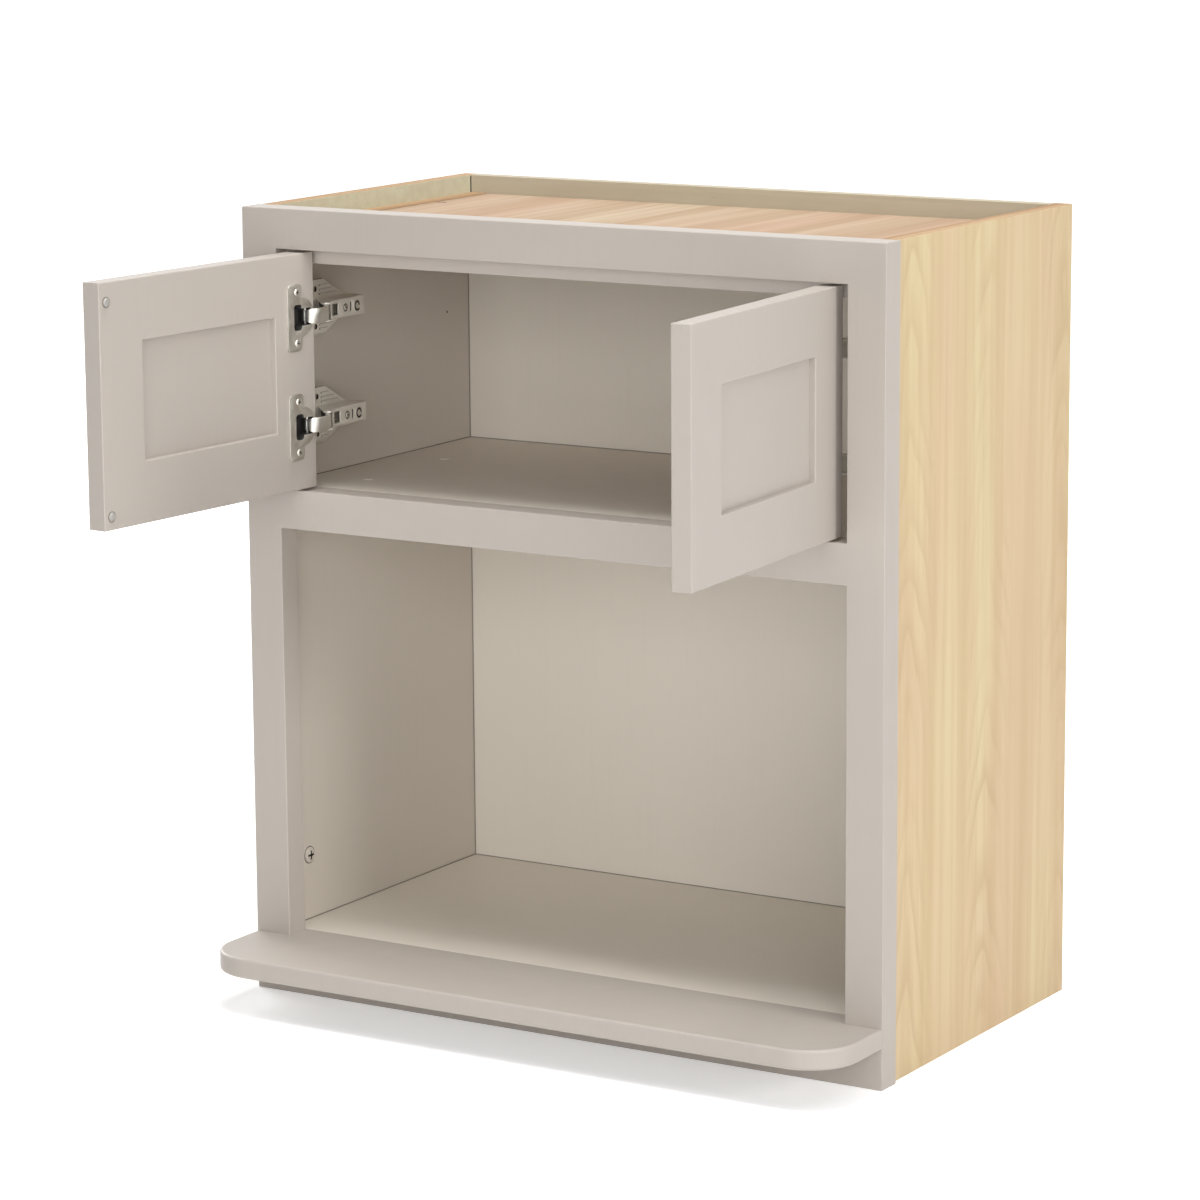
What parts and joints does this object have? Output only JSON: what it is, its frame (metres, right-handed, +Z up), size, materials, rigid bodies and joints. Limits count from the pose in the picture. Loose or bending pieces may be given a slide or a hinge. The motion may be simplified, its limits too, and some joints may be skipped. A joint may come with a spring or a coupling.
{
  "type": "microwave wall cabinet",
  "caption": "Face-frame wall cabinet with an open microwave bay, a rounded projecting ledge and inset shaker doors on concealed hinges.",
  "frame": {"origin": "on the wall, at the middle of the upper hanging rail's back face", "axes": "+X to the right seen from the room, +Y into the wall, +Z up"},
  "size_m": [0.6858, 0.6658, 0.762],
  "materials": {
    "greige_paint": "satin paint",
    "maple_veneer": "matt laminate",
    "raw_plywood": "unfinished",
    "nickel": "bright nickel plate",
    "bumper": "clear soft pad"
  },
  "bodies": {
    "cabinet": {"left_frame_stile": "greige_paint", "right_frame_stile": "greige_paint", "top_frame_rail": "greige_paint", "middle_frame_rail": "greige_paint", "bottom_frame_rail": "greige_paint", "door_stop": "greige_paint", "microwave_ledge": "greige_paint", "upper_deck": "greige_paint", "bay_floor": "greige_paint", "back_panel": "greige_paint", "left_side_panel": "maple_veneer", "right_side_panel": "maple_veneer", "top_panel": "raw_plywood", "upper_hanging_rail": "raw_plywood", "lower_hanging_rail": "raw_plywood", "left_upper_hinge_plate": "nickel", "left_lower_hinge_plate": "nickel", "left_upper_hinge_arm": "nickel", "left_lower_hinge_arm": "nickel", "right_upper_hinge_plate": "nickel", "right_lower_hinge_plate": "nickel", "right_upper_hinge_arm": "nickel", "right_lower_hinge_arm": "nickel"},
    "left_links": {"left_upper_hinge_link": "nickel", "left_lower_hinge_link": "nickel"},
    "right_links": {"right_upper_hinge_link": "nickel", "right_lower_hinge_link": "nickel"},
    "left_door": {"left_door_hinge_stile": "greige_paint", "left_door_free_stile": "greige_paint", "left_door_top_rail": "greige_paint", "left_door_bottom_rail": "greige_paint", "left_door_panel": "greige_paint", "left_upper_bumper": "bumper", "left_lower_bumper": "bumper", "left_upper_hinge_cup": "nickel", "left_lower_hinge_cup": "nickel"},
    "right_door": {"right_door_hinge_stile": "greige_paint", "right_door_free_stile": "greige_paint", "right_door_top_rail": "greige_paint", "right_door_bottom_rail": "greige_paint", "right_door_panel": "greige_paint", "right_upper_bumper": "bumper", "right_lower_bumper": "bumper", "right_upper_hinge_cup": "nickel", "right_lower_hinge_cup": "nickel"}
  },
  "joints": [
    {"name": "left_link_turn", "type": "hinge", "parent": "cabinet", "child": "left_links", "pos_m": [-0.2757, -0.3411, -0.1079], "axis": [0, 0, -1], "range_deg": [-3.9, 33.1]},
    {"name": "left_door_swing", "type": "hinge", "parent": "left_links", "child": "left_door", "pos_m": [-0.27786, -0.37285, -0.1079], "axis": [0, 0, -1], "range_deg": [-127, 14.86]},
    {"name": "right_link_turn", "type": "hinge", "parent": "cabinet", "child": "right_links", "pos_m": [0.2757, -0.3411, -0.1079], "axis": [0, 0, 1], "range_deg": [-3.9, 33.1]},
    {"name": "right_door_swing", "type": "hinge", "parent": "right_links", "child": "right_door", "pos_m": [0.27786, -0.37285, -0.1079], "axis": [0, 0, 1], "range_deg": [-127, 14.86]}
  ],
  "couplings": [
    {"joint": "left_link_turn", "follows": "left_door_swing", "ratio": -0.25984},
    {"joint": "right_link_turn", "follows": "right_door_swing", "ratio": -0.25984}
  ]
}
